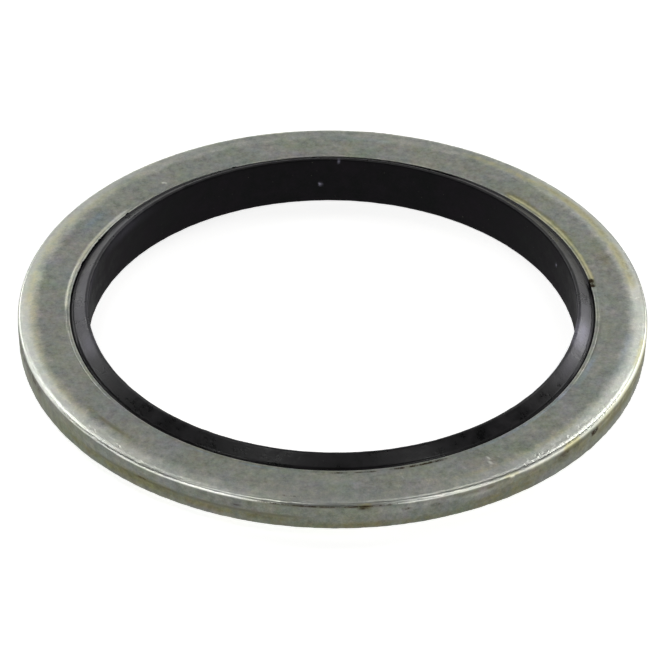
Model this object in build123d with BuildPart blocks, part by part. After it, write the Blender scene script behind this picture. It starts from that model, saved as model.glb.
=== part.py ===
"""Bonded sealing washer: a blanked steel ring with a rubber sealing lip moulded into its bore.

The origin lies on the bore axis in the plane of the lower lip, so the washer rests on z = 0.
+Z points to the face whose outer edge rolled over when the ring was blanked.
All lengths are millimetres.
"""

import os
from math import cos, radians, sin, tan

from build123d import *

os.makedirs("parts", exist_ok=True)

# Across, from the bore outwards
bore_diameter = 28.7  # inside the rubber lip, to pass a 28 mm thread
seal_width = 1.1  # rubber, from the bore out to the bond
ring_width = 3.05  # steel, from the bond out to the blanked edge

# Up
ring_thickness = 2.0
lip_stand = 0.55  # how far each unsqueezed lip stands above the steel

# Blanked outer edge, from the upper face down
roll_radius = 2.8  # shallow curve where the face starts to turn down
roll_angle = 19.0  # degrees turned through before the curve tightens
nose_radius = 0.22  # tight curve that runs on into the wall
sheared_band = 0.45  # height of the smooth upright wall
fracture_taper = 3.0  # degrees that the torn wall below it leans inwards
burr_radius = 0.18  # lower outer edge, rounded by tumbling

# Pierced bore
bore_roll_radius = 0.12  # lower edge, rolled over by the punch
bore_edge_radius = 0.04  # upper edge, left almost sharp

# Rubber seal, the same on both faces
seal_setback = 0.15  # from each steel face to where the rubber meets the bore
gutter_width = 0.23  # open channel between the steel edge and the foot of the lip
gutter_hollow = 0.07  # how far that channel's floor is dished
crest_width = 0.2  # flat ring on top of the lip
crest_edge_radius = 0.06

# Radii and heights that follow from those sizes; heights are taken from the middle of the ring
bore_radius = bore_diameter / 2
bond_radius = bore_radius + seal_width
ring_radius = bond_radius + ring_width
face_height = ring_thickness / 2
crest_height = face_height + lip_stand
roll_rise = sin(radians(roll_angle))
roll_width = roll_radius * roll_rise + nose_radius * (1 - roll_rise)
roll_depth = roll_radius - (roll_radius - nose_radius) * cos(radians(roll_angle))
fracture_height = ring_thickness - roll_depth - sheared_band
fracture_lean = fracture_height * tan(radians(fracture_taper))

# Both sections are drawn here: radius across, and height up from the middle of the ring.
section_plane = Plane(origin=(0, 0, crest_height), x_dir=(1, 0, 0), z_dir=(0, -1, 0))

# The steel ring is one revolved section. Going down its outer edge: the rolled-over corner, the
# upright band that the tool sheared smooth, and the torn wall that leans in to the lower face.
with BuildPart() as steel_ring:
    with BuildSketch(section_plane):
        with BuildLine():
            roll = JernArc((ring_radius - roll_width, face_height), (1, 0), roll_radius, -roll_angle)
            nose = JernArc(roll @ 1, roll % 1, nose_radius, roll_angle - 90)
            Polyline(
                nose @ 1,
                (ring_radius, fracture_height - face_height),
                (ring_radius - fracture_lean, -face_height),
                (bond_radius, -face_height),
                (bond_radius, face_height),
                roll @ 0,
            )
        make_face()
    revolve()
    bore_lower_edge, outer_lower_edge = steel_ring.edges().group_by(Axis.Z)[0].sort_by(SortBy.RADIUS)
    bore_upper_edge = steel_ring.edges().group_by(Axis.Z)[-1].sort_by(SortBy.RADIUS)[0]
    fillet(bore_upper_edge, bore_edge_radius)
    fillet(bore_lower_edge, bore_roll_radius)
    fillet(outer_lower_edge, burr_radius)
steel_ring.part.label = "steel_ring"

# The seal's section is drawn for the upper lip and mirrored. From the bond, a dished gutter runs
# in to the foot of the lip, level with the steel, and the flank climbs from there to the crest.
with BuildPart() as rubber_seal:
    with BuildSketch(section_plane):
        with BuildLine():
            gutter = SagittaArc(
                (bond_radius, face_height - seal_setback),
                (bond_radius - gutter_width, face_height),
                gutter_hollow,
            )
            Line((bond_radius, 0), gutter @ 0)
            Polyline(
                gutter @ 1,
                (bore_radius + crest_width, crest_height),
                (bore_radius, crest_height),
                (bore_radius, 0),
            )
            mirror(about=Plane.XZ)
        make_face()
    revolve()
    crest_edges = rubber_seal.edges().group_by(Axis.Z)[0] + rubber_seal.edges().group_by(Axis.Z)[-1]
    fillet(crest_edges, crest_edge_radius)
rubber_seal.part.label = "rubber_seal"

for piece in (steel_ring, rubber_seal):
    export_step(piece.part, f"parts/{piece.part.label}.step")
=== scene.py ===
"""Looks of a bonded sealing washer: a blanked, zinc plated steel ring with a rubber lip moulded in.

Lengths are millimetres until a finished mesh is scaled to metres. Azimuths are degrees about the
bore axis: 0 is +X, the right-hand side, 90 is +Y, the back, and 270 is the front.
"""

import math

import bmesh
import bpy
from mathutils import Matrix, Vector, noise


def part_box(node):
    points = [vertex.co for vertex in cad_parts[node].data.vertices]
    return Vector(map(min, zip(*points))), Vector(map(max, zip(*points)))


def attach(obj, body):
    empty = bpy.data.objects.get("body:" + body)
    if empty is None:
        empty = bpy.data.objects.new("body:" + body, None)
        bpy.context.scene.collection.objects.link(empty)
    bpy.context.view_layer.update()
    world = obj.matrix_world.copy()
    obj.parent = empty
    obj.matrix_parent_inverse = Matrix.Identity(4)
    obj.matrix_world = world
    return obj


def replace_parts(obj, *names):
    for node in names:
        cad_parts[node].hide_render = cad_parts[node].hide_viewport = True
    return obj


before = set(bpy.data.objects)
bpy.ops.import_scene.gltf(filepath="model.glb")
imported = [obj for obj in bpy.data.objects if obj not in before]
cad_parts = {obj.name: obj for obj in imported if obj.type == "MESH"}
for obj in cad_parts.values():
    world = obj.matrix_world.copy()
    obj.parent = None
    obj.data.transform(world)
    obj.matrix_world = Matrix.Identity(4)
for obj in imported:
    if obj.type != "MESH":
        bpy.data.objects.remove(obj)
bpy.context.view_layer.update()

MM = 0.001
CENTRE = Vector((0, 0, 0))


# ---------------------------------------------------------------- sizes

steel_low, steel_high = (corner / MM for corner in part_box("steel_ring"))
seal_low, seal_high = (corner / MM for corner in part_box("rubber_seal"))

ring_radius = -steel_low.x
bond_radius = -seal_low.x
bore_radius = 14.35
face_top = steel_high.z
face_bottom = steel_low.z
middle = (seal_low.z + seal_high.z) / 2

roll_drop = 0.1526  # how far the blanking die drew the edge down
roll_slope = 8.6  # degrees, over most of the drawn-down band
entry_bend = 4.5  # radius where the face turns into that slope
exit_bend = 0.9  # and where the slope turns into the nose
roll_angle = 19.0
nose_radius = 0.22
sheared_band = 0.45
fracture_taper = 3.0
burr_radius = 0.18
bore_roll = 0.12
bore_edge = 0.04
shutoff_radius = 15.69  # where the mould pinched the steel face
roll_from = 17.6  # the part of the rim that tumbling scuffs starts here
nose_from = 18.2  # past this radius the surface is nose or wall
wall_from = 18.38  # and past this one it can carry the wall's stains
film_rise = 0.004  # how far the underside of the flash stands off the steel
film_thickness = 0.02


# ---------------------------------------------------------------- drawing a section


def run_to(bm, tip, r, z, parts):
    """Draws a straight line from the pen's tip, cut into equal parts, and returns the new tip."""
    start = tip.co.copy()
    for step in range(1, parts + 1):
        tip = bmesh.ops.extrude_vert_indiv(bm, verts=[tip])["verts"][0]
        tip.co = start.lerp((r, 0, z), step / parts)
    return tip


def turn(bm, tip, r, z, degrees, parts):
    """Swings the pen's tip about the centre (r, z) and returns the new tip."""
    swept = bmesh.ops.spin(
        bm, geom=[tip], cent=(r, 0, z), axis=(0, 1, 0), angle=math.radians(degrees), steps=parts
    )
    return next(item for item in swept["geom_last"] if isinstance(item, bmesh.types.BMVert))


def spin_section(bm, steps):
    """Turns the drawn section once round the bore axis: a sixteenth is spun, then doubled."""
    bmesh.ops.remove_doubles(bm, verts=bm.verts, dist=1e-4)
    sector = math.tau / 16
    section = bm.verts[:] + bm.edges[:]
    bmesh.ops.spin(bm, geom=section, cent=CENTRE, axis=(0, 0, 1), angle=sector, steps=steps // 16)
    for doubling in range(4):
        copied = bmesh.ops.duplicate(bm, geom=bm.verts[:] + bm.edges[:] + bm.faces[:])["geom"]
        turned = Matrix.Rotation(sector * 2**doubling, 3, "Z")
        verts = [item for item in copied if isinstance(item, bmesh.types.BMVert)]
        bmesh.ops.rotate(bm, cent=CENTRE, matrix=turned, verts=verts)
    bmesh.ops.remove_doubles(bm, verts=bm.verts, dist=1e-4)
    bmesh.ops.recalc_face_normals(bm, faces=bm.faces)


def finish_piece(bm, name, materials):
    """Scales the mesh to metres and makes it a smooth shaded piece that rides with the washer."""
    bmesh.ops.scale(bm, vec=(MM, MM, MM), verts=bm.verts)
    mesh = bpy.data.meshes.new(name)
    bm.to_mesh(mesh)
    bm.free()
    mesh.shade_smooth()
    for material in materials:
        mesh.materials.append(material)
    piece = bpy.data.objects.new(name, mesh)
    bpy.context.scene.collection.objects.link(piece)
    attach(piece, "root")
    return piece


# ---------------------------------------------------------------- where marks lie


def azimuth_of(co):
    return math.degrees(math.atan2(co.y, co.x)) % 360


def near(value, centre, reach):
    """1 at the centre, falling smoothly to 0 at the reach."""
    share = max(0.0, 1 - abs(value - centre) / reach)
    return share * share * (3 - 2 * share)


def over_arc(azimuth, start, end, fade):
    """1 between two azimuths, fading out past them. The end may be more than 360."""
    middle_of_arc = (start + end) / 2
    off = abs((azimuth - middle_of_arc + 180) % 360 - 180)
    share = min(1.0, max(0.0, ((end - start) / 2 + fade - off) / fade))
    return share * share * (3 - 2 * share)


def rumble(co, scale, seed):
    """Smooth noise from -1 to 1 with features about 1/scale mm across."""
    return noise.noise(Vector((co.x * scale + seed, co.y * scale - seed, co.z * scale + 2 * seed)))


# ---------------------------------------------------------------- materials


def linear(hex_colour):
    """Turns an sRGB hex colour into the linear RGBA that a shader takes."""
    channels = [int(hex_colour[i : i + 2], 16) / 255 for i in (1, 3, 5)]
    light = (c / 12.92 if c <= 0.04045 else ((c + 0.055) / 1.055) ** 2.4 for c in channels)
    return (*light, 1.0)


def add(tree, kind, links=None, **settings):
    """Adds a node, gives it its settings, and fills its inputs with sockets or values."""
    made = tree.nodes.new(kind)
    for key, value in settings.items():
        setattr(made, key, value)
    for key, value in (links or {}).items():
        if isinstance(value, bpy.types.NodeSocket):
            tree.links.new(value, made.inputs[key])
        else:
            made.inputs[key].default_value = value
    return made


def new_material(name):
    material = bpy.data.materials.new(name)
    material.use_nodes = True
    material.node_tree.nodes.clear()
    return material, material.node_tree


def zinc_plated_steel():
    """Barrel plated zinc with a thin yellow passivate on blanked steel. The face is a matt grey,
    mottled by the way the zinc grew. Tumbling has burnished the drawn-down edge nearly white, and
    the polish is also painted on as highlights on the nose and the inner edge.
    The torn wall below it is rougher, duller and browner, because the passivate dries there last,
    and its darker colour is partly painted shade.
    """
    material, tree = new_material("zinc_plated_steel")
    coords = add(tree, "ShaderNodeTexCoord").outputs["Object"]
    burnish_and_highlight, wall, yellow, blue, brown = (
        add(tree, "ShaderNodeAttribute", attribute_name=name).outputs["Fac"]
        for name in ("burnish_and_highlight", "wall", "yellow", "blue", "brown")
    )
    # Zinc grows in patches 2.4 mm across and less, and in grains of a few microns. The grains are
    # drawn coarser, from 0.48 mm down to 0.06 mm, so that they show.
    patches = add(
        tree,
        "ShaderNodeTexNoise",
        {"Vector": coords, "Scale": 420.0, "Detail": 5.0, "Roughness": 0.9},
    )
    grains = add(
        tree,
        "ShaderNodeTexNoise",
        {"Vector": coords, "Scale": 2100.0, "Detail": 3.0, "Roughness": 0.9},
    )
    # Fine lines down the torn wall, dragged by the blanking tool 0.3 mm apart round the edge.
    flat_coords = add(
        tree, "ShaderNodeVectorMath", {0: coords, 1: (1.0, 1.0, 0.15)}, operation="MULTIPLY"
    )
    drag = add(
        tree,
        "ShaderNodeTexNoise",
        {"Vector": flat_coords.outputs[0], "Scale": 3300.0, "Detail": 3.0, "Roughness": 0.8},
    )

    # Tumbling polishes the high spots first, so the burnished edge fades out in patches.
    polish_and_highlight = add(
        tree,
        "ShaderNodeMath",
        {0: patches.outputs["Fac"], 1: 0.9, 2: burnish_and_highlight},
        operation="MULTIPLY_ADD",
    )
    polish_and_highlight = add(
        tree, "ShaderNodeMapRange", {0: polish_and_highlight.outputs[0], 1: 0.65, 2: 1.25, 3: 0.0, 4: 1.0}
    )
    # The bright colour stands for real polish and also for painted highlights on the nose and the
    # inner edge.
    bright = add(
        tree,
        "ShaderNodeMix",
        {"Factor": polish_and_highlight.outputs[0], 6: linear("#a6a9a0"), 7: linear("#e3e6dc")},
        data_type="RGBA",
    )
    # The darker wall colour is partly the torn steel and partly painted shade.
    sided = add(
        tree,
        "ShaderNodeMix",
        {"Factor": wall, 6: bright.outputs[2], 7: linear("#767970")},
        data_type="RGBA",
    )

    # Stains are broken up by the patches, so they have no edge of their own.
    broken = add(
        tree,
        "ShaderNodeMath",
        {0: patches.outputs["Fac"], 1: 3.0, 2: -0.7},
        operation="MULTIPLY_ADD",
    )
    film = add(
        tree,
        "ShaderNodeMath",
        {0: broken.outputs[0], 1: yellow},
        operation="MULTIPLY",
        use_clamp=True,
    )
    tinted = add(
        tree,
        "ShaderNodeMix",
        {"Factor": film.outputs[0], 6: sided.outputs[2], 7: linear("#f5efca")},
        data_type="RGBA",
        blend_type="MULTIPLY",
    )
    # The passivate is thin enough in places to show blue, as oil does on water.
    thin = add(
        tree,
        "ShaderNodeMath",
        {0: broken.outputs[0], 1: blue},
        operation="MULTIPLY",
        use_clamp=True,
    )
    blued = add(
        tree,
        "ShaderNodeMix",
        {"Factor": thin.outputs[0], 6: tinted.outputs[2], 7: linear("#a3b3bb")},
        data_type="RGBA",
    )
    spots = add(
        tree, "ShaderNodeMapRange", {0: grains.outputs["Fac"], 1: 0.38, 2: 0.58, 3: 0.0, 4: 1.5}
    )
    spots = add(
        tree,
        "ShaderNodeMath",
        {0: spots.outputs[0], 1: brown},
        operation="MULTIPLY",
        use_clamp=True,
    )
    rusted = add(
        tree,
        "ShaderNodeMix",
        {"Factor": spots.outputs[0], 6: blued.outputs[2], 7: linear("#473b2d")},
        data_type="RGBA",
    )

    hue = add(
        tree,
        "ShaderNodeVectorMath",
        {0: patches.outputs["Color"], 1: (0.5, 0.42, 0.84), 2: (0.75, 0.79, 0.58)},
        operation="MULTIPLY_ADD",
    )
    shade = add(
        tree, "ShaderNodeMapRange", {0: grains.outputs["Fac"], 1: 0.2, 2: 0.8, 3: 0.62, 4: 1.38}
    )
    depth = add(
        tree, "ShaderNodeMapRange", {0: patches.outputs["Fac"], 1: 0.2, 2: 0.8, 3: 0.83, 4: 1.17}
    )
    mottle = add(
        tree,
        "ShaderNodeVectorMath",
        {0: hue.outputs[0], 1: shade.outputs[0]},
        operation="MULTIPLY",
    )
    mottle = add(
        tree,
        "ShaderNodeVectorMath",
        {0: mottle.outputs[0], 1: depth.outputs[0]},
        operation="MULTIPLY",
    )
    # Where tumbling has flattened the grains they hardly show.
    flattened = add(tree, "ShaderNodeMath", {0: polish_and_highlight.outputs[0], 1: 0.6}, operation="MULTIPLY")
    mottle = add(
        tree,
        "ShaderNodeMix",
        {"Factor": flattened.outputs[0], 6: mottle.outputs[0], 7: linear("#ffffff")},
        data_type="RGBA",
    )
    colour = add(
        tree,
        "ShaderNodeVectorMath",
        {0: rusted.outputs[2], 1: mottle.outputs[2]},
        operation="MULTIPLY",
    )

    rough = add(
        tree, "ShaderNodeMapRange", {0: polish_and_highlight.outputs[0], 1: 0.0, 2: 1.0, 3: 0.38, 4: 0.29}
    )
    rough = add(
        tree, "ShaderNodeMath", {0: wall, 1: 0.14, 2: rough.outputs[0]}, operation="MULTIPLY_ADD"
    )
    rough = add(
        tree,
        "ShaderNodeMath",
        {0: film.outputs[0], 1: 0.08, 2: rough.outputs[0]},
        operation="MULTIPLY_ADD",
    )
    rough = add(
        tree,
        "ShaderNodeMath",
        {0: spots.outputs[0], 1: 0.4, 2: rough.outputs[0]},
        operation="MULTIPLY_ADD",
        use_clamp=True,
    )
    lines = add(tree, "ShaderNodeMath", {0: drag.outputs["Fac"], 1: wall}, operation="MULTIPLY")
    standing = add(
        tree, "ShaderNodeMath", {0: burnish_and_highlight, 1: -0.55, 2: 1.0}, operation="MULTIPLY_ADD"
    )
    grown = add(tree, "ShaderNodeMath", {0: grains.outputs["Fac"], 1: -0.5}, operation="ADD")
    grown = add(
        tree, "ShaderNodeMath", {0: grown.outputs[0], 1: standing.outputs[0]}, operation="MULTIPLY"
    )
    relief = add(
        tree,
        "ShaderNodeMath",
        {0: lines.outputs[0], 1: 1.5, 2: grown.outputs[0]},
        operation="MULTIPLY_ADD",
    )
    # Knocks from other parts in the barrel, 0.24 mm across, on the edge that meets them first.
    knocks = add(
        tree,
        "ShaderNodeTexNoise",
        {"Vector": coords, "Scale": 4200.0, "Detail": 2.0, "Roughness": 0.6},
    )
    knocks = add(
        tree, "ShaderNodeMapRange", {0: knocks.outputs["Fac"], 1: 0.52, 2: 0.72, 3: 0.0, 4: -1.1}
    )
    reached = add(tree, "ShaderNodeMath", {0: burnish_and_highlight, 1: 3.0}, operation="POWER")
    knocks = add(
        tree, "ShaderNodeMath", {0: knocks.outputs[0], 1: reached.outputs[0]}, operation="MULTIPLY"
    )
    relief = add(
        tree, "ShaderNodeMath", {0: relief.outputs[0], 1: knocks.outputs[0]}, operation="ADD"
    )
    bump = add(
        tree, "ShaderNodeBump", {"Height": relief.outputs[0], "Strength": 0.5, "Distance": 0.00002}
    )
    shader = add(
        tree,
        "ShaderNodeBsdfPrincipled",
        {
            "Base Color": colour.outputs[0],
            "Metallic": 1.0,
            "Roughness": rough.outputs[0],
            "Normal": bump.outputs["Normal"],
        },
    )
    add(tree, "ShaderNodeOutputMaterial", {"Surface": shader.outputs[0]})
    return material


def nitrile_rubber(name, gloss, roughness):
    """Compression moulded nitrile rubber, black with carbon. It copies the mould: satin on the
    polished lip, dead matt on the eroded core that forms the bore."""
    material, tree = new_material(name)
    coords = add(tree, "ShaderNodeTexCoord").outputs["Object"]
    # Bloom lies on the lip in patches 1.5 mm across. Dust is finer than it is drawn here, at
    # 0.17 mm, so that it shows.
    bloom = add(
        tree,
        "ShaderNodeTexNoise",
        {"Vector": coords, "Scale": 650.0, "Detail": 5.0, "Roughness": 0.8},
    )
    dust = add(
        tree,
        "ShaderNodeTexNoise",
        {"Vector": coords, "Scale": 6000.0, "Detail": 2.0, "Roughness": 0.6},
    )
    haze = add(
        tree, "ShaderNodeMapRange", {0: bloom.outputs["Fac"], 1: 0.35, 2: 0.65, 3: 0.0, 4: 1.0}
    )
    colour = add(
        tree,
        "ShaderNodeMix",
        {"Factor": haze.outputs[0], 6: linear("#0a0c0c"), 7: linear("#1a171b")},
        data_type="RGBA",
    )
    flecks = add(
        tree, "ShaderNodeMapRange", {0: dust.outputs["Fac"], 1: 0.72, 2: 0.77, 3: 0.0, 4: 0.5}
    )
    flecked = add(
        tree,
        "ShaderNodeMix",
        {"Factor": flecks.outputs[0], 6: colour.outputs[2], 7: linear("#55574e")},
        data_type="RGBA",
    )
    # Painted sheen: pale lilac patches on the lip where a reflection lies, broken up by the bloom;
    # the same mask also marks specks of dust.
    sheen_and_dust = add(tree, "ShaderNodeAttribute", attribute_name="sheen_and_dust")
    sheen_and_dust_mask = add(
        tree, "ShaderNodeMapRange", {0: bloom.outputs["Fac"], 1: 0.3, 2: 0.6, 3: 0.4, 4: 1.2}
    )
    sheen_and_dust_mask = add(
        tree,
        "ShaderNodeMath",
        {0: sheen_and_dust_mask.outputs[0], 1: sheen_and_dust.outputs["Fac"]},
        operation="MULTIPLY",
        use_clamp=True,
    )
    flecked = add(
        tree,
        "ShaderNodeMix",
        {"Factor": sheen_and_dust_mask.outputs[0], 6: flecked.outputs[2], 7: linear("#a3a0b4")},
        data_type="RGBA",
    )
    rough = add(
        tree,
        "ShaderNodeMapRange",
        {0: bloom.outputs["Fac"], 1: 0.3, 2: 0.7, 3: roughness - 0.12, 4: roughness + 0.16},
    )
    relief = add(
        tree,
        "ShaderNodeMath",
        {0: dust.outputs["Fac"], 1: 0.4, 2: bloom.outputs["Fac"]},
        operation="MULTIPLY_ADD",
    )
    bump = add(
        tree, "ShaderNodeBump", {"Height": relief.outputs[0], "Strength": 0.4, "Distance": 0.00004}
    )
    shader = add(
        tree,
        "ShaderNodeBsdfPrincipled",
        {
            "Base Color": flecked.outputs[2],
            "Roughness": rough.outputs[0],
            "Specular IOR Level": gloss,
            "Normal": bump.outputs["Normal"],
        },
    )
    add(tree, "ShaderNodeOutputMaterial", {"Surface": shader.outputs[0]})
    return material


def light_board():
    """A matt white board with a faint light of its own, so shadows on it stay pale."""
    material, tree = new_material("matt_white_board")
    shader = add(
        tree,
        "ShaderNodeBsdfPrincipled",
        {
            "Base Color": linear("#eeeeec"),
            "Roughness": 0.9,
            "Specular IOR Level": 0.1,
            "Emission Color": linear("#ffffff"),
            "Emission Strength": 0.74,
        },
    )
    add(tree, "ShaderNodeOutputMaterial", {"Surface": shader.outputs[0]})
    return material


# ---------------------------------------------------------------- steel ring


# Each stain: attribute, first and last azimuth, fade in degrees, middle and reach in mm, strength.
# On the upper face the middle is a radius; on the wall it is a height.
FACE_STAINS = [
    ("yellow", 27, 45, 4, 17.9, 0.42, 1.4),
    ("yellow", 12, 26, 6, 17.85, 0.45, 1.1),
    ("yellow", 48, 62, 4, 17.7, 0.4, 1.0),
    ("yellow", 17, 24, 3, 16.95, 0.4, 0.45),
    ("yellow", 13, 32, 3, 15.64, 0.26, 1.9),
    ("yellow", 28, 47, 4, 15.72, 0.38, 2.0),
    ("yellow", 132, 150, 6, 17.65, 0.45, 0.45),
    ("yellow", 152, 177, 6, 17.85, 0.45, 0.6),
    ("yellow", 150, 178, 4, 15.65, 0.2, 0.5),
    ("yellow", 180, 212, 8, 17.6, 0.5, 0.6),
    ("yellow", 216, 226, 4, 17.15, 0.35, 0.7),
    ("yellow", 230, 250, 8, 15.62, 0.2, 0.3),
    ("yellow", 298, 322, 6, 17.55, 0.3, 0.5),
    ("yellow", 345, 352, 2, 18.3, 0.2, 1.0),
    ("blue", 147, 151, 2.5, 16.65, 0.4, 0.8),
    ("blue", 334, 344, 2, 15.88, 0.28, 0.8),
    ("blue", 240, 243, 1.5, 15.72, 0.14, 0.8),
    ("blue", 252, 258, 2, 15.72, 0.14, 0.8),
    ("blue", 302, 331, 5, 15.62, 0.18, 0.6),
    ("blue", 80, 90, 4, 17.3, 0.4, 0.5),
    ("blue", 342, 352, 4, 17.5, 0.35, 0.4),
    ("brown", 14, 44, 6, 17.95, 0.45, 0.2),
    ("brown", 10.1, 11.9, 0.8, 15.5, 0.3, 3.0),
    ("brown", 219, 224, 2, 17.1, 0.2, 0.25),
    ("brown", 261.5, 264.5, 1.5, 17.95, 0.12, 0.6),
    ("brown", 270.5, 273, 1, 15.68, 0.1, 0.8),
    ("brown", 275.5, 279, 1, 15.69, 0.1, 0.7),
    ("brown", 284, 294, 2, 15.67, 0.15, 1.0),
    ("brown", 345, 356, 2, 15.75, 0.08, 0.3),
    ("brown", 80, 84, 1.5, 18.35, 0.2, 0.5),
]
WALL_STAINS = [
    # The first three entries carry the polish down the wall: a bright nick at azimuth 304, then
    # painted highlights below the nose from 284 to 304 and 330 to 356.
    ("nick_and_highlight", 304.1, 304.7, 0.3, 2.22, 0.28, 1.0),
    ("nick_and_highlight", 284, 304, 6, 1.85, 0.35, 0.25),
    ("nick_and_highlight", 330, 356, 12, 1.82, 0.5, 0.38),
    ("yellow", 200, 213, 8, 1.3, 1.1, 0.7),
    ("yellow", 214, 262, 6, 1.15, 0.5, 1.1),
    ("yellow", 230, 241, 3, 1.25, 0.5, 1.5),
    ("yellow", 262, 304, 8, 0.85, 0.4, 0.9),
    ("yellow", 296, 308, 3, 1.1, 0.4, 1.0),
    ("yellow", 304, 330, 6, 1.6, 0.9, 0.75),
    ("yellow", 330, 356, 8, 1.7, 0.9, 1.6),
    ("yellow", 275.4, 276.8, 1, 2.25, 0.3, 1.4),
    ("yellow", 303.3, 305.3, 1, 2.25, 0.35, 0.9),
    ("yellow", 317.5, 320.5, 1.2, 2.1, 0.6, 1.6),
    ("brown", 188, 202, 4, 1.9, 0.6, 0.45),
    ("brown", 233.4, 234.6, 0.7, 1.45, 0.12, 0.5),
    ("brown", 252.6, 253.6, 0.7, 1.7, 0.14, 0.4),
    ("brown", 224, 262, 5, 1.4, 0.14, 0.22),
    ("brown", 275.4, 276.6, 0.6, 2.1, 0.2, 0.6),
    ("brown", 283.2, 284.2, 0.6, 1.8, 0.14, 0.6),
    ("brown", 288.6, 289.8, 0.7, 1.75, 0.22, 0.5),
    ("brown", 294, 300, 2, 1.95, 0.2, 0.3),
    ("brown", 315.8, 317.6, 1, 1.7, 0.5, 0.5),
    ("brown", 319.6, 320.6, 0.6, 1.75, 0.2, 0.5),
    ("brown", 325, 326.4, 0.7, 1.78, 0.3, 1.3),
    ("brown", 322, 336, 5, 1.95, 0.4, 0.25),
    ("brown", 332, 358, 4, 1.8, 0.7, 0.3),
    # This entry draws a dark brown line along the nose at the front.
    ("brown", 259, 281, 4, 2.24, 0.09, 0.75),
]
# Bright scratches and nicks: azimuth and radius of each end, reach to each side, strength.
SCRATCHES = [
    (128.9, 16.05, 129.3, 16.2, 0.13, 1.0),
    (284.2, 16.3, 284.9, 16.95, 0.1, 0.5),
    (296.9, 16.5, 297.1, 17.1, 0.09, 0.4),
    (303.1, 16.5, 302.0, 17.5, 0.11, 1.0),
    (304.6, 16.9, 304.3, 17.5, 0.1, 0.7),
    (308.4, 16.8, 307.9, 17.5, 0.1, 0.5),
    (315.3, 17.0, 316.0, 17.3, 0.1, 0.4),
]


def stain(stains, name, azimuth, place):
    """How strongly the named stain lies at this azimuth and radius or height."""
    strongest = 0.0
    for kind, start, end, fade, centre, reach, strength in stains:
        if kind == name and abs(place - centre) < reach:
            strongest = max(
                strongest,
                strength * over_arc(azimuth, start, end, fade) * near(place, centre, reach),
            )
    return strongest


def scratched(co):
    """How bright the scratches leave the steel at this place on the face."""
    brightest = 0.0
    here = co.to_2d()
    for azimuth_0, r_0, azimuth_1, r_1, width, strength in SCRATCHES:
        start, end = (
            Vector((math.cos(math.radians(a)), math.sin(math.radians(a)))) * r
            for a, r in ((azimuth_0, r_0), (azimuth_1, r_1))
        )
        along = max(0.0, min(1.0, (here - start).dot(end - start) / (end - start).length_squared))
        brightest = max(
            brightest, strength * near((here - start.lerp(end, along)).length, 0.0, width)
        )
    return brightest


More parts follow.
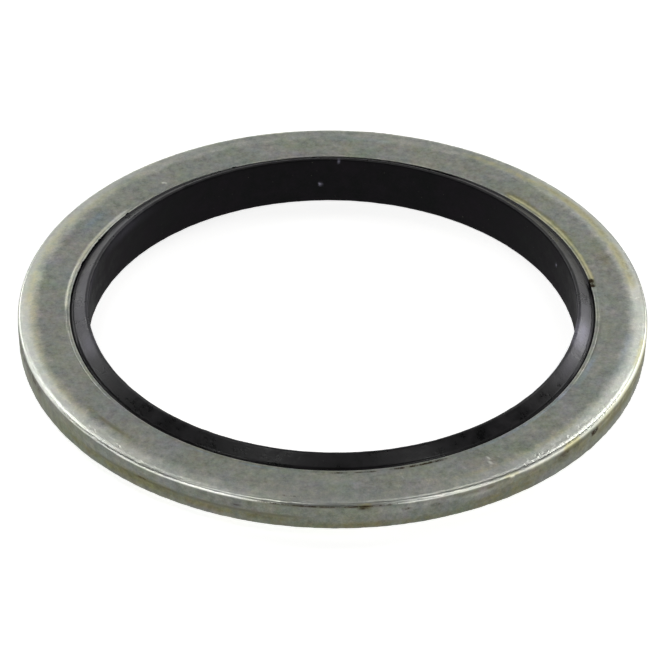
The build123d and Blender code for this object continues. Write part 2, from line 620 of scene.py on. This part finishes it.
def wear_steel(bm, nose_z, tear_z):
    """Marks where the plating is polished or stained, paints highlights and shade into the polish
    and the dull wall, and works the tool and tumbling marks in.
    """
    names = ("burnish_and_highlight", "wall", "yellow", "blue", "brown")
    layers = {name: bm.verts.layers.float.new(name) for name in names}
    for vert in bm.verts:
        co = vert.co.copy()
        r, azimuth = math.hypot(co.x, co.y), azimuth_of(co)
        out = Vector((co.x / r, co.y / r, 0))
        upper = co.z > middle
        below_nose = max(0.0, nose_z - co.z) if r > nose_from else 0.0
        # Painted highlight: on these arcs the polish runs lower down the nose, so its highlight
        # reaches lower.
        highlight_lowered = max(
            over_arc(azimuth, 230, 257, 7),
            over_arc(azimuth, 284, 352, 7),
            0.5 * over_arc(azimuth, 198, 232, 6),
        )
        # The dull, darker wall starts near the foot of the nose where the highlight is painted
        # lower, and higher elsewhere: partly torn steel, partly painted shade.
        dull_rise = 0.14 + 0.07 * over_arc(azimuth, 15, 162, 32)
        dull_from = nose_z + 0.05 * highlight_lowered + dull_rise * (1 - highlight_lowered)
        fade = 0.09 + 0.2 * over_arc(azimuth, 310, 350, 8)
        on_wall = min(1.0, max(0.0, dull_from - co.z) / fade) if r > nose_from else 0.0
        # Here the wall keeps the polish: a bright nick, and painted highlights below the nose.
        nick_and_highlight = stain(WALL_STAINS, "nick_and_highlight", azimuth, co.z) if r > wall_from else 0.0
        # Painted highlights along the inner edge of the steel face: a band at its corner all round,
        # and a stronger one just outside it on two arcs.
        inner_edge_highlight = max(over_arc(azimuth, 144, 178, 6), 0.9 * over_arc(azimuth, 14, 46, 5))
        polish_and_highlight = near(r, 18.45, 1.75) + 0.6 * near(r, 15.48, 0.09)
        polish_and_highlight += 0.9 * inner_edge_highlight * near(r, 15.68, 0.2)
        # The roll from azimuth 6 to 44 is polished brighter, partly wear and partly painted
        # highlight.
        polish_and_highlight += 0.4 * over_arc(azimuth, 6, 44, 6) * near(r, 18.05, 0.45)
        # Painted shade: the polish on the rim is lowered at the back and at the front, darkening it
        # there.
        dulled_for_shade = max(0.4 * over_arc(azimuth, 56, 110, 10), 0.25 * over_arc(azimuth, 238, 302, 8))
        polish_and_highlight = min(1.0, polish_and_highlight) - dulled_for_shade * near(r, 18.1, 0.5)
        if upper and 15.9 < r < roll_from:
            polish_and_highlight = max(polish_and_highlight, scratched(co))
        walled = on_wall * (1 - nick_and_highlight)
        vert[layers["burnish_and_highlight"]] = min(1.0, max(0.0, polish_and_highlight)) * (1 - walled) if upper else 0.0
        vert[layers["wall"]] = walled
        for name in ("yellow", "blue", "brown"):
            level = stain(WALL_STAINS, name, azimuth, co.z) if r > wall_from else 0.0
            if upper and below_nose == 0.0:
                level = max(level, stain(FACE_STAINS, name, azimuth, r))
            vert[layers[name]] = level
        on_a_face = not face_bottom + 0.01 < co.z < face_top - 0.01
        if abs(r - shutoff_radius) < 0.03 and on_a_face:
            hard = max(over_arc(azimuth, 172, 206, 12), over_arc(azimuth, 343, 362, 12))
            pinch = 0.35 + 0.65 * hard
            depth = 0.022 * pinch * near(r, shutoff_radius, 0.04)
            vert.co.z += -depth if upper else depth
        if roll_from < r and upper and below_nose < 0.1:
            scuffed = 0.3 + 0.7 * max(
                over_arc(azimuth, 216, 236, 5),
                over_arc(azimuth, 243, 256, 5),
                over_arc(azimuth, 296, 318, 6),
            )
            worn = max(0.0, rumble(co, 1.1, 21) + 0.8 * rumble(co, 3.2, 22))
            depth = 0.008 * scuffed * worn * near(r, 18.2, 0.6)
            vert.co -= out * depth * 0.7
            vert.co.z -= depth
            struck = over_arc(azimuth, 12, 44, 6) * near(r, 17.95, 0.4)
            vert.co.z -= 0.03 * struck * max(0.0, rumble(co, 3.0, 51) + 0.5 * rumble(co, 5.5, 52))
        if nose_from < r and upper and below_nose < 0.12:
            dinged = max(
                over_arc(azimuth, 214, 224, 5),
                over_arc(azimuth, 244, 262, 3),
                over_arc(azimuth, 279, 305, 4),
                0.8 * over_arc(azimuth, 316, 326, 4),
            )
            dented = max(0.0, rumble(co, 1.9, 41) + 0.5 * rumble(co, 3.4, 42) - 0.1)
            depth = 0.05 * dinged * dented * near(r, 18.45, 0.22)
            vert.co -= out * depth
            vert.co.z -= depth * 0.5
        if on_wall and co.z < tear_z + 0.1:
            share = min(1.0, (tear_z + 0.1 * rumble(co, 1.1, 17) + 0.05 - co.z) / 0.1)
            ragged = rumble(Vector((co.x, co.y, co.z * 0.25)), 2.4, 3) + 0.6 * rumble(co, 5, 5)
            vert.co -= out * max(0.0, share) * max(0.0, 0.018 + 0.022 * ragged)


def make_steel_ring(material):
    lean = math.radians(fracture_taper)
    roll = math.radians(roll_angle)
    slope = math.radians(roll_slope)
    nose_r = ring_radius - nose_radius
    nose_z = face_top - roll_drop - nose_radius * math.cos(roll)
    exit_r = nose_r + (nose_radius - exit_bend) * math.sin(roll)
    exit_z = nose_z + (nose_radius - exit_bend) * math.cos(roll)
    slope_end = (exit_r + exit_bend * math.sin(slope), exit_z + exit_bend * math.cos(slope))
    fall = slope_end[1] - face_top + entry_bend * (1 - math.cos(slope))
    roll_r = slope_end[0] + fall / math.tan(slope) - entry_bend * math.sin(slope)
    tear_z = nose_z - sheared_band
    foot_r = ring_radius - (tear_z - face_bottom - burr_radius) * math.tan(lean)
    burr_r, burr_z = foot_r - burr_radius / math.cos(lean), face_bottom + burr_radius
    bm = bmesh.new()
    tip = bm.verts.new((bond_radius + bore_edge, 0, face_top))
    for r in (15.55, 15.61, 15.65, 15.67, shutoff_radius, 15.71, 15.73, 15.79):
        tip = run_to(bm, tip, r, face_top, 1)
    tip = run_to(bm, tip, roll_r, face_top, 14)
    tip = turn(bm, tip, roll_r, face_top - entry_bend, roll_slope, 10)
    tip = run_to(bm, tip, *slope_end, 6)
    tip = turn(bm, tip, exit_r, exit_z, roll_angle - roll_slope, 4)
    tip = turn(bm, tip, nose_r, nose_z, 90 - roll_angle, 10)
    tip = run_to(bm, tip, ring_radius, tear_z, 6)
    tip = run_to(
        bm, tip, burr_r + burr_radius * math.cos(lean), burr_z - burr_radius * math.sin(lean), 20
    )
    tip = turn(bm, tip, burr_r, burr_z, 90 - fracture_taper, 5)
    tip = run_to(bm, tip, 15.79, face_bottom, 16)
    for r in (15.73, 15.71, shutoff_radius, 15.67, 15.65):
        tip = run_to(bm, tip, r, face_bottom, 1)
    tip = run_to(bm, tip, bond_radius + bore_roll, face_bottom, 1)
    tip = turn(bm, tip, bond_radius + bore_roll, face_bottom + bore_roll, 90, 3)
    tip = run_to(bm, tip, bond_radius, face_top - bore_edge, 3)
    turn(bm, tip, bond_radius + bore_edge, face_top - bore_edge, 90, 3)
    spin_section(bm, 768)
    wear_steel(bm, nose_z, tear_z)
    return finish_piece(bm, "steel_ring_plated", [material])


# ---------------------------------------------------------------- rubber seal


# Painted sheen on the lip, pale patches where a reflection lies, and specks of dust on the rubber:
# azimuth and its reach in degrees, radius and height and their reach in mm, strength.
LIP_SHEEN_AND_DUST = [
    (350, 9, 14.8, 2.85, 0.8, 0.9),
    (150, 16, 14.8, 2.85, 0.8, 0.14),
    (350, 24, 14.8, 2.85, 0.8, 0.24),
    (182, 26, 14.8, 2.85, 0.8, 0.16),
    (196, 8, 14.8, 2.85, 0.8, 0.24),
    (93.4, 0.6, 14.36, 1.3, 0.16, 1.0),
    (88.9, 0.4, 14.45, 2.95, 0.2, 0.8),
    (23.1, 0.5, 14.36, 1.9, 0.16, 0.7),
]


def make_rubber_seal(satin, matt):
    setback, gutter, hollow = 0.15, 0.23, 0.07
    crest, edge = 0.2, 0.13
    foot_r = bond_radius - gutter
    flank = math.atan2(seal_high.z - face_top, foot_r - bore_radius - crest)
    chord = Vector((-gutter, setback))
    arc_radius = (chord.length**2 / 4 + hollow**2) / (2 * hollow)
    half = math.asin(chord.length / 2 / arc_radius)
    to_centre = Vector((setback, gutter)).normalized() * (arc_radius - hollow)
    arc_r = bond_radius - gutter / 2 + to_centre.x
    arc_z = face_top - setback / 2 + to_centre.y
    shoulder_r = bore_radius + crest - edge * math.tan(flank / 2)
    bm = bmesh.new()
    tip = bm.verts.new((bond_radius, 0, middle))
    tip = run_to(bm, tip, bond_radius, face_top - setback, 2)
    tip = turn(bm, tip, arc_r, arc_z, math.degrees(2 * half), 8)
    start_r = shoulder_r + edge * math.sin(flank)
    start_z = seal_high.z - edge + edge * math.cos(flank)
    tip = run_to(bm, tip, start_r, start_z, 14)
    tip = turn(bm, tip, shoulder_r, seal_high.z - edge, -math.degrees(flank), 3)
    tip = run_to(bm, tip, bore_radius + edge, seal_high.z, 3)
    tip = turn(bm, tip, bore_radius + edge, seal_high.z - edge, -90, 4)
    run_to(bm, tip, bore_radius, middle, 12)
    half_section = bm.verts[:] + bm.edges[:]
    bmesh.ops.mirror(
        bm,
        geom=half_section,
        matrix=Matrix.Translation((0, 0, -middle)),
        axis="Z",
        merge_dist=1e-4,
    )
    spin_section(bm, 720)
    sheen_and_dust = bm.verts.layers.float.new("sheen_and_dust")
    for vert in bm.verts:
        co = vert.co.copy()
        r, azimuth = math.hypot(co.x, co.y), azimuth_of(co)
        out = Vector((co.x / r, co.y / r, 0))
        for centre, arc, patch_r, patch_z, reach, strength in LIP_SHEEN_AND_DUST:
            off = abs((azimuth - centre + 180) % 360 - 180)
            away = math.hypot(r - patch_r, co.z - patch_z)
            level = strength * near(off, 0, arc) * near(away, 0, reach)
            vert[sheen_and_dust] = max(vert[sheen_and_dust], level)
        if r < 15.2:
            ripple = 0.5 + 0.5 * rumble(co, 1.6, 7) + 0.25 * rumble(co, 6, 9)
            vert.co += out * 0.02 * max(0.0, ripple)
            if co.z > face_top or co.z < face_bottom:
                vert.co.z += (-1 if co.z > middle else 1) * 0.015 * max(0.0, ripple)
        elif vert.co.z > middle + 0.5:
            filled = max(
                0.85 * over_arc(azimuth, 108, 148, 8),
                0.85 * over_arc(azimuth, 14, 60, 6),
                0.4 * over_arc(azimuth, 150, 190, 6),
                0.35 * over_arc(azimuth, 340, 366, 5),
            )
            vert.co.z += filled * max(0.0, face_top - co.z)
    for face in bm.faces:
        centre = face.calc_center_median()
        if math.hypot(centre.x, centre.y) < bore_radius + 0.06:
            face.material_index = 1
    return finish_piece(bm, "rubber_seal_moulded", [satin, matt])


# ---------------------------------------------------------------- moulding flash


def flash_reach(azimuth, co):
    """How far out over the steel face the torn film of rubber runs, as a radius."""
    torn = max(0.0, rumble(co, 0.9, 31) + 0.7 * rumble(co, 2.6, 32) + 0.5 * rumble(co, 6, 33))
    long_teeth = max(
        0.4 * over_arc(azimuth, 113, 118, 2),
        over_arc(azimuth, 143, 149, 2),
        0.45 * over_arc(azimuth, 156, 178, 3),
    )
    short_teeth = max(
        over_arc(azimuth, 100, 180, 10),
        over_arc(azimuth, 198, 262, 5),
        over_arc(azimuth, 18, 30, 5),
    )
    return bond_radius - 0.05 + (0.05 + 0.1 * torn) * long_teeth + 0.07 * torn * short_teeth


def make_flash(material):
    """The film that squeezed out past the mould's edge and tore off ragged on the upper face."""
    root_r, film_r = bond_radius - 0.05, bond_radius + 0.3
    lip_z, film_z = face_top - 0.07, face_top + film_rise
    bm = bmesh.new()
    tip = bm.verts.new((bond_radius - 0.09, 0, face_top - 0.115))
    tip = run_to(bm, tip, root_r, lip_z, 2)
    run_to(bm, tip, film_r, film_z, 9)
    spin_section(bm, 1440)
    for vert in bm.verts:
        r = math.hypot(vert.co.x, vert.co.y)
        if r > root_r + 1e-4:
            reach = max(
                root_r + 0.012, flash_reach(azimuth_of(vert.co), vert.co.normalized() * 15.5)
            )
            torn_r = root_r + (r - root_r) * (reach - root_r) / (film_r - root_r)
            vert.co.x *= torn_r / r
            vert.co.y *= torn_r / r
            vert.co.z = lip_z + (film_z - lip_z) * min(1.0, (torn_r - root_r) / 0.06)
    bmesh.ops.solidify(bm, geom=bm.faces, thickness=film_thickness)
    bmesh.ops.recalc_face_normals(bm, faces=bm.faces)
    return finish_piece(bm, "moulding_flash", [material])


# ---------------------------------------------------------------- stage, lights and camera


def make_floor():
    bm = bmesh.new()
    bmesh.ops.create_grid(bm, x_segments=1, y_segments=1, size=4.0)
    mesh = bpy.data.meshes.new("floor")
    bm.to_mesh(mesh)
    bm.free()
    mesh.materials.append(light_board())
    floor = bpy.data.objects.new("floor", mesh)
    bpy.context.scene.collection.objects.link(floor)


def soft_box(name, azimuth, elevation, half_width, half_height, radiance):
    """An area lamp 0.6 m from the washer, facing it, sized by the angle it covers each side of its
    middle, and as bright as the radiance over its whole face."""
    reach = 0.6
    data = bpy.data.lights.new(name, "AREA")
    data.shape = "RECTANGLE"
    data.size = 2 * reach * math.tan(math.radians(half_width))
    data.size_y = 2 * reach * math.tan(math.radians(half_height))
    data.energy = radiance * math.pi * data.size * data.size_y
    lamp = bpy.data.objects.new(name, data)
    bpy.context.scene.collection.objects.link(lamp)
    a, e = math.radians(azimuth), math.radians(elevation)
    towards = Vector((math.cos(a) * math.cos(e), math.sin(a) * math.cos(e), math.sin(e)))
    lamp.location = towards * reach
    lamp.rotation_euler = lamp.location.to_track_quat("Z", "Y").to_euler()


def make_camera():
    elevation, roll = math.radians(36.79), math.radians(0.745)
    distance, focal_px, frame_px = 0.555, 9424.5, 665
    washer_radius, sensor_width = 0.0185, 36.0
    shift_right, shift_up = 0.0006 * washer_radius, 0.0147 * washer_radius
    forward = Vector((0, math.cos(elevation), -math.sin(elevation)))
    level = Vector((1, 0, 0))
    rise = Vector((0, math.sin(elevation), math.cos(elevation)))
    right = math.cos(roll) * level + math.sin(roll) * rise
    up = -math.sin(roll) * level + math.cos(roll) * rise
    aim = Vector((0, 0, face_bottom * MM))
    data = bpy.data.cameras.new("camera")
    data.sensor_width = sensor_width
    data.lens = sensor_width * focal_px / frame_px
    data.clip_start, data.clip_end = 0.01, 10.0
    camera = bpy.data.objects.new("camera", data)
    bpy.context.scene.collection.objects.link(camera)
    camera.matrix_world = Matrix.Translation(
        aim - forward * distance + right * shift_right + up * shift_up
    ) @ Matrix((right, up, -forward)).transposed().to_4x4()
    bpy.context.scene.camera = camera


def make_lights():
    world = bpy.data.worlds.new("studio")
    world.use_nodes = True
    world.node_tree.nodes["Background"].inputs["Color"].default_value = linear("#ffffff")
    world.node_tree.nodes["Background"].inputs["Strength"].default_value = 0.02
    bpy.context.scene.world = world
    soft_box("back_right_box", 46, 46, 13, 6, 3.6)
    soft_box("back_left_box", 138, 45.5, 17, 6, 2.9)
    soft_box("high_right_box", 65, 66, 4, 4, 2.8)
    soft_box("high_left_box", 112.5, 61, 4, 4, 2.35)
    soft_box("back_panel", 85, 34.5, 24, 8, 0.77)
    soft_box("back_low_right", 73, 23, 9, 4.5, 0.5)
    soft_box("back_low_left", 109, 23, 9, 4.5, 0.3)
    soft_box("low_back", 98.5, 4, 39, 3, 2.0)
    soft_box("low_right", 34.5, 14, 19, 5.5, 5.0)
    soft_box("low_left", 142, 19, 24, 4, 4.2)
    soft_box("low_left_side", 191, 12, 8.5, 3, 4.0)
    soft_box("low_left_front", 229, 14, 9.5, 6.5, 5.0)
    soft_box("low_right_front", 349, 16, 38, 10, 0.64)
    soft_box("front_right_strip", 312.5, 39, 4.3, 24, 3.0)
    soft_box("overhead", 215, 68, 14.5, 8.5, 2.0)


steel = zinc_plated_steel()
satin_rubber = nitrile_rubber("satin_nitrile_rubber", 0.45, 0.32)
matt_rubber = nitrile_rubber("matt_nitrile_rubber", 0.06, 0.7)
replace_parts(make_steel_ring(steel), "steel_ring")
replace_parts(make_rubber_seal(satin_rubber, matt_rubber), "rubber_seal")
make_flash(matt_rubber)
make_floor()
make_lights()
make_camera()
bpy.context.scene.view_settings.view_transform = "Standard"
